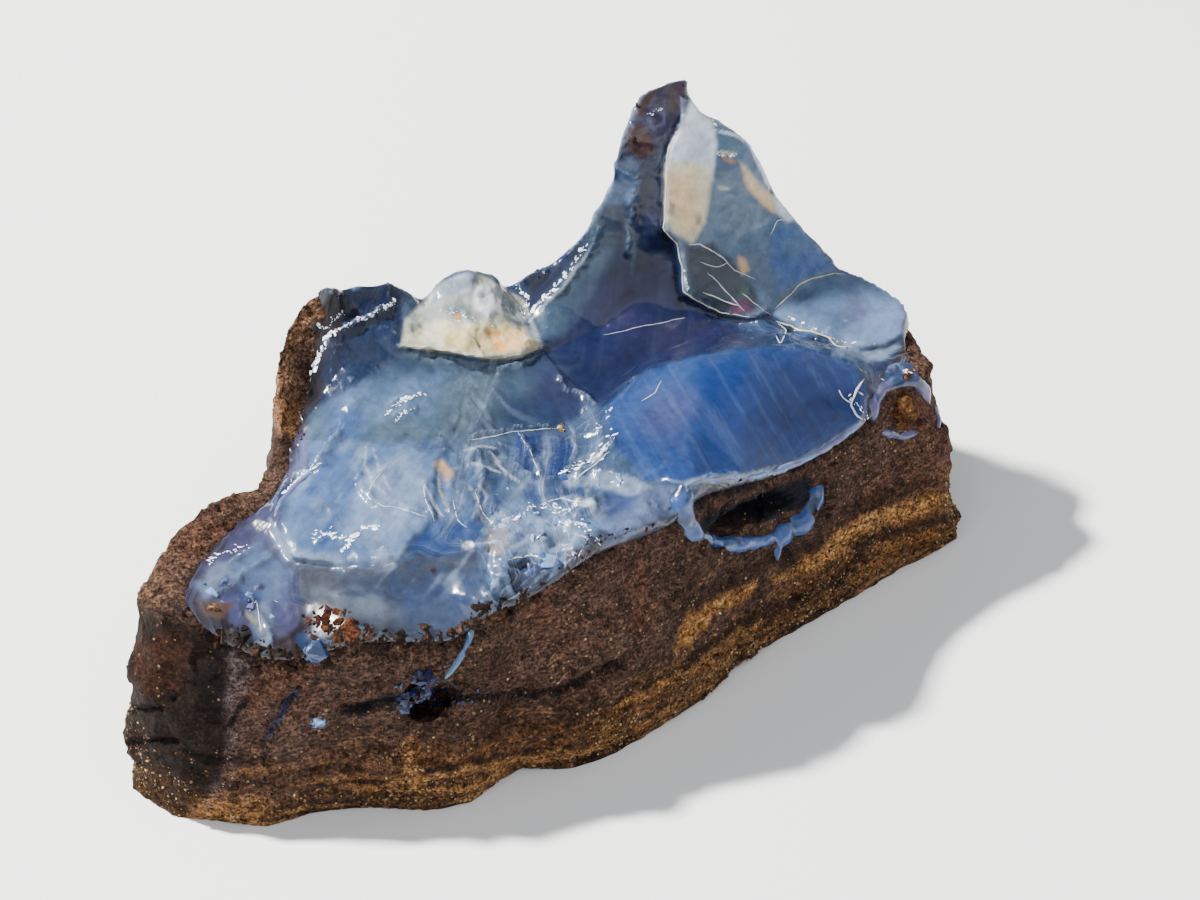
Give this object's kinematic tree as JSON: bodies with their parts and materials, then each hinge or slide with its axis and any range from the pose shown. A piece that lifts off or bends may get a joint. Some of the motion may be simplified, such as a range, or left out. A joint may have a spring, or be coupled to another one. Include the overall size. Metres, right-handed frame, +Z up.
{
  "type": "rough opal specimen",
  "caption": "Rough opal specimen: a broken block of banded brown ironstone whose trough holds glassy blue opal, with thin flakes, a tall spire and a flat base to rest on.",
  "frame": {"origin": "centre of the bounding box in plan, on the flat base the piece rests on", "axes": "+Z up from the flat base, +X along the length towards the end below the spire, -Y out of the long broken front face"},
  "size_m": [0.0561, 0.0298, 0.0288],
  "materials": {
    "brown_ironstone": "matt, broken and gritty, banded brown, tan and ochre",
    "blue_opal": "glassy broken faces, cloudy and partly see-through, blue to milky with amber thin edges"
  },
  "bodies": {
    "root": {"ironstone_matrix": "brown_ironstone", "opal": "blue_opal"}
  },
  "joints": []
}
